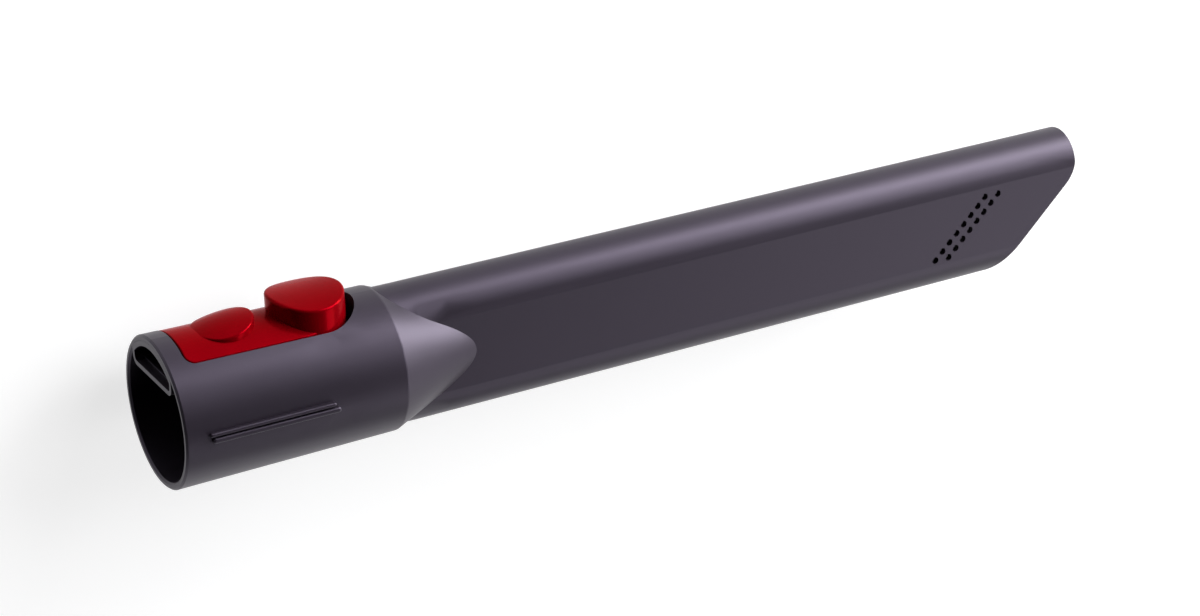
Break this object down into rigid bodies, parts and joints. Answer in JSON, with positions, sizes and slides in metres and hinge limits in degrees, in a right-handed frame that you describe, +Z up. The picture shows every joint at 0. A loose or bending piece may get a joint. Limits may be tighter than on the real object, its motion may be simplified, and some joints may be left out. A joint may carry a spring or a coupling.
{
  "type": "vacuum crevice tool",
  "caption": "Long flat suction nozzle with a slanted tip, a round socket for a wand end and a sprung push-button release latch.",
  "frame": {"origin": "centre of the round mouth, on the plane of its end face", "axes": "+X along the tool from the mouth to the nose, +Y towards the side that carries the release latch, +Z up and across the flat of the blade, with the tool lying on its side"},
  "size_m": [0.2642, 0.0417, 0.0398],
  "materials": {
    "body_plastic": "moulded dark grey plastic with a satin sheen",
    "latch_plastic": "moulded deep red plastic, polished",
    "spring_steel": "drawn steel wire"
  },
  "bodies": {
    "nozzle": {"nozzle_body": "body_plastic", "return_spring": "spring_steel"},
    "latch": {"release_latch": "latch_plastic"}
  },
  "joints": [
    {"name": "latch_rock", "type": "hinge", "parent": "nozzle", "child": "latch", "pos_m": [0.027, 0.0122, 0], "axis": [0, 0, -1], "range_deg": [0, 6], "stiffness_Nm_per_rad": 0.35, "springref_deg": -3.44, "deforming": ["return_spring"]}
  ]
}
